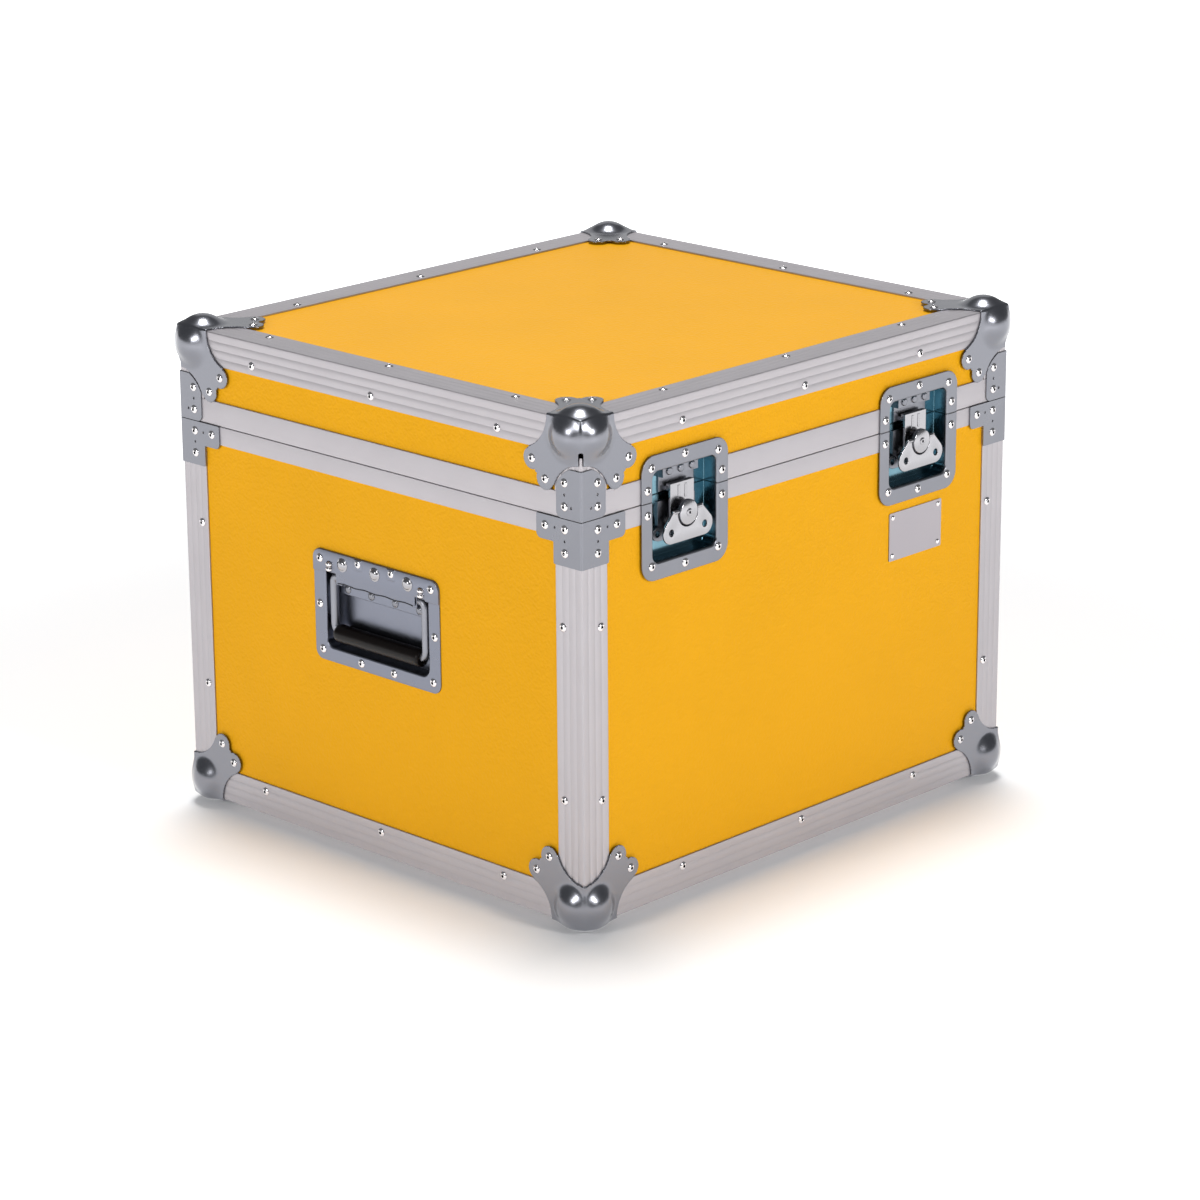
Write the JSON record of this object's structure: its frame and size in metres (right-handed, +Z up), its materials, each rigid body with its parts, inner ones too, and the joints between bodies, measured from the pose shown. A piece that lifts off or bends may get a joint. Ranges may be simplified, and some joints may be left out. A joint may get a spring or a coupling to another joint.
{
  "type": "flight case",
  "caption": "Lidded flight case of laminated boards in aluminium edging, with ball corners, recessed twist latches and sprung side handles; the lid hinges at the back.",
  "frame": {"origin": "middle of the case's footprint, on the plane of the flats under the lower ball corners", "axes": "+Z up, +X along the latch side, so that seen from the front it points right; the latch side faces -Y"},
  "size_m": [0.5754, 0.5214, 0.4629],
  "materials": {
    "laminated_board": "plywood faced with leather-grained plastic laminate",
    "edge_extrusion": "mill finish, fine lines along the length",
    "ball_corner": "bright zinc plate on pressed steel",
    "corner_brace": "zinc plate",
    "rivet": "bright",
    "hinge": "zinc plate",
    "plain_plate": "satin",
    "handle_steel": "zinc plate",
    "spring_wire": "drawn wire",
    "handle_rod": "bright zinc plate",
    "handle_grip": "satin black",
    "latch_dish": "bright zinc plate",
    "latch_plate": "zinc plate",
    "latch_key": "bright zinc plate"
  },
  "bodies": {
    "base": {"base_front_panel": "laminated_board", "base_back_panel": "laminated_board", "base_left_panel": "laminated_board", "base_right_panel": "laminated_board", "base_floor_panel": "laminated_board", "base_edges": "edge_extrusion", "base_uprights": "edge_extrusion", "base_front_rim": "edge_extrusion", "base_back_rim": "edge_extrusion", "base_left_rim": "edge_extrusion", "base_right_rim": "edge_extrusion", "base_ball_corners": "ball_corner", "base_corner_braces": "corner_brace", "base_rivets": "rivet", "badge_plate": "plain_plate", "hinge_base_leaves": "hinge", "hinge_pins": "hinge", "handle_left_dish": "handle_steel", "handle_left_cover": "handle_steel", "handle_left_axle_clamp": "handle_steel", "handle_left_springs": "spring_wire", "handle_right_dish": "handle_steel", "handle_right_cover": "handle_steel", "handle_right_axle_clamp": "handle_steel", "handle_right_springs": "spring_wire", "latch_left_lower_dish": "latch_dish", "latch_left_bed": "latch_plate", "latch_right_lower_dish": "latch_dish", "latch_right_bed": "latch_plate"},
    "lid": {"lid_front_panel": "laminated_board", "lid_back_panel": "laminated_board", "lid_left_panel": "laminated_board", "lid_right_panel": "laminated_board", "lid_top_panel": "laminated_board", "lid_edges": "edge_extrusion", "lid_uprights": "edge_extrusion", "lid_front_rim": "edge_extrusion", "lid_back_rim": "edge_extrusion", "lid_left_rim": "edge_extrusion", "lid_right_rim": "edge_extrusion", "lid_ball_corners": "ball_corner", "lid_corner_braces": "corner_brace", "lid_rivets": "rivet", "hinge_lid_leaves": "hinge", "latch_left_upper_dish": "latch_dish", "latch_left_strike": "latch_plate", "latch_right_upper_dish": "latch_dish", "latch_right_strike": "latch_plate"},
    "handle_left": {"handle_left_bail": "handle_rod", "handle_left_grip": "handle_grip"},
    "handle_right": {"handle_right_bail": "handle_rod", "handle_right_grip": "handle_grip"},
    "latch_left_rotor": {"latch_left_rotor": "latch_key"},
    "latch_left_wing": {"latch_left_wing": "latch_key"},
    "latch_left_hook": {"latch_left_hook": "latch_plate"},
    "latch_right_rotor": {"latch_right_rotor": "latch_key"},
    "latch_right_wing": {"latch_right_wing": "latch_key"},
    "latch_right_hook": {"latch_right_hook": "latch_plate"}
  },
  "joints": [
    {"name": "lid_hinge", "type": "hinge", "parent": "base", "child": "lid", "pos_m": [0, 0.2549, 0.3676], "axis": [-1, 0, 0], "range_deg": [0, 100]},
    {"name": "handle_left_swing", "type": "hinge", "parent": "base", "child": "handle_left", "pos_m": [-0.2731, 0, 0.2567], "axis": [0, 1, 0], "range_deg": [0, 90], "stiffness_Nm_per_rad": 0.12, "springref_deg": -22.92},
    {"name": "handle_right_swing", "type": "hinge", "parent": "base", "child": "handle_right", "pos_m": [0.2731, 0, 0.2567], "axis": [0, -1, 0], "range_deg": [0, 90], "stiffness_Nm_per_rad": 0.12, "springref_deg": -22.92},
    {"name": "latch_left_turn", "type": "hinge", "parent": "base", "child": "latch_left_rotor", "pos_m": [-0.1503, -0.251, 0.3501], "axis": [0, 1, 0], "range_deg": [0, 180]},
    {"name": "latch_left_fold", "type": "hinge", "parent": "latch_left_rotor", "child": "latch_left_wing", "pos_m": [-0.1503, -0.2516, 0.3525], "axis": [-1, 0, 0], "range_deg": [0, 90]},
    {"name": "latch_left_draw", "type": "slide", "parent": "base", "child": "latch_left_hook", "axis": [0, -0.5145, 0.8575], "range_m": [0, 0.007]},
    {"name": "latch_right_turn", "type": "hinge", "parent": "base", "child": "latch_right_rotor", "pos_m": [0.1571, -0.251, 0.3501], "axis": [0, 1, 0], "range_deg": [0, 180]},
    {"name": "latch_right_fold", "type": "hinge", "parent": "latch_right_rotor", "child": "latch_right_wing", "pos_m": [0.1571, -0.2516, 0.3525], "axis": [-1, 0, 0], "range_deg": [0, 90]},
    {"name": "latch_right_draw", "type": "slide", "parent": "base", "child": "latch_right_hook", "axis": [0, -0.5145, 0.8575], "range_m": [0, 0.007]}
  ],
  "couplings": [
    {"joint": "latch_left_turn", "follows": "latch_left_draw", "rad_per_m": 448.7},
    {"joint": "latch_right_turn", "follows": "latch_right_draw", "rad_per_m": 448.7}
  ]
}
